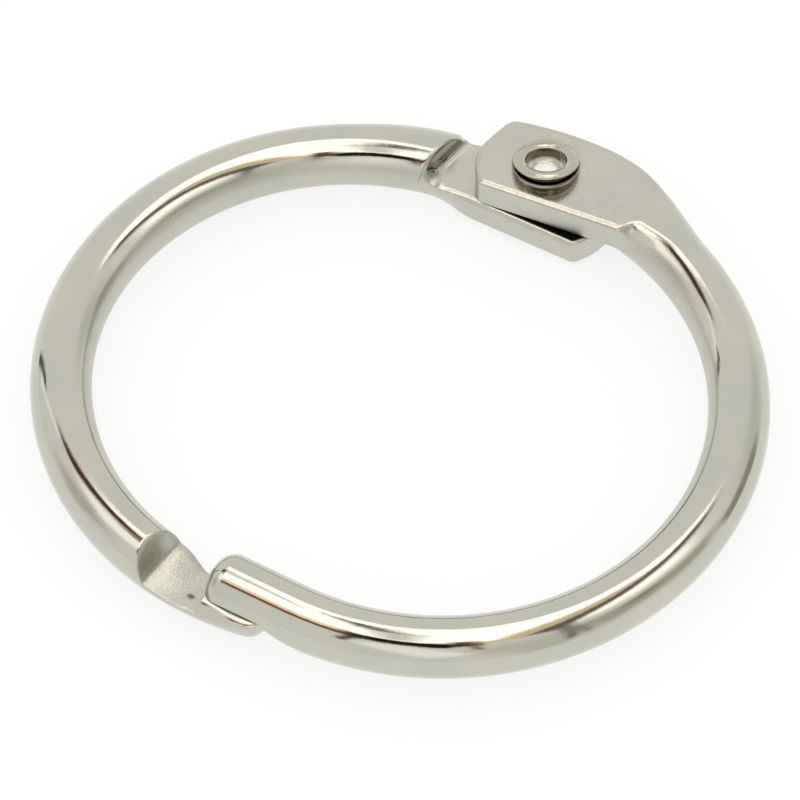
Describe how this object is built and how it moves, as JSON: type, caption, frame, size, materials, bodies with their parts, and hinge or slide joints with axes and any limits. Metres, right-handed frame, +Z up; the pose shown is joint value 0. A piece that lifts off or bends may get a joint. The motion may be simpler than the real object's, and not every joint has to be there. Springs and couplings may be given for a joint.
{
  "type": "hinged binder ring",
  "caption": "Hinged loose-leaf binder ring: half rings of round plated wire, riveted at flat tabs and shut by a lapped snap clasp.",
  "frame": {"origin": "centre of the shut ring's bounding box, on the level of the lower rivet head that it rests on", "axes": "+Z up along the rivet, +Y from the clasp to the hinge, +X towards the half that swings open"},
  "size_m": [0.0358, 0.033, 0.0047],
  "materials": {
    "ring_wire": "bright nickel plate over steel wire, satin on the pressed tabs",
    "rivet": "dull nickel plate over a hollow steel rivet"
  },
  "bodies": {
    "fixed_half": {"left_half": "ring_wire", "hinge_rivet": "rivet"},
    "swinging_half": {"right_half": "ring_wire"}
  },
  "joints": [
    {"name": "ring_hinge", "type": "hinge", "parent": "fixed_half", "child": "swinging_half", "pos_m": [-0.00009, 0.01396, 0.0025], "axis": [0, 0, 1], "range_deg": [0, 135]}
  ]
}
